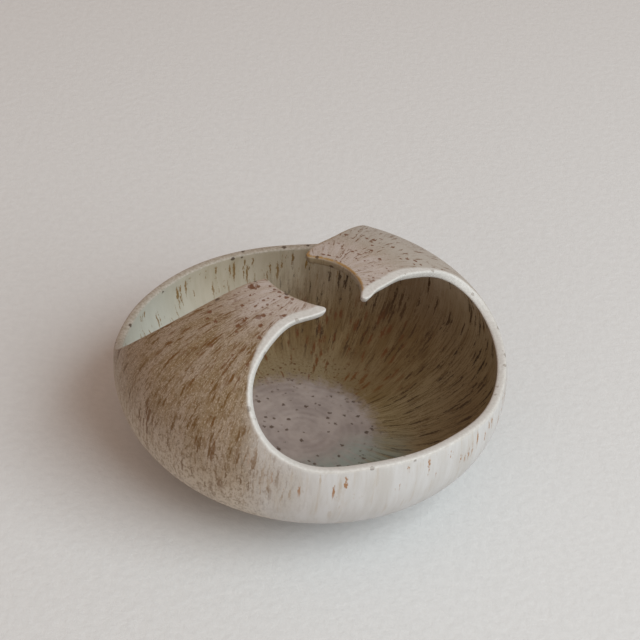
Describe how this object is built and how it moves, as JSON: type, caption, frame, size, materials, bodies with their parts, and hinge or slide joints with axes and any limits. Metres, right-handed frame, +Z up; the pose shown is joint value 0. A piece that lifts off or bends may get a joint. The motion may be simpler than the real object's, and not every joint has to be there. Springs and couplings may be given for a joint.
{
  "type": "yarn bowl",
  "caption": "Squat round stoneware bowl, closed in to a small mouth, with a large opening cut each side so two pointed peaks guide the yarn.",
  "frame": {"origin": "middle of the face that the foot ring rests on", "axes": "+Z up; front opening faces -Y and a little towards +X; +X is the bowl's right"},
  "size_m": [0.176, 0.176, 0.0924],
  "materials": {
    "bare_clay": "matte",
    "fired_clay": "matte",
    "outside_glaze": "satin",
    "inside_glaze": "gloss",
    "floor_glaze": "gloss",
    "rim_glaze": "satin"
  },
  "bodies": {
    "root": {"foot_ring": "bare_clay", "floor_slab": "bare_clay", "belly_wall": "fired_clay", "left_peak": "fired_clay", "right_peak": "fired_clay", "outside_glaze": "outside_glaze", "inside_glaze": "inside_glaze", "floor_glaze": "floor_glaze", "cut_rim": "rim_glaze"}
  },
  "joints": []
}
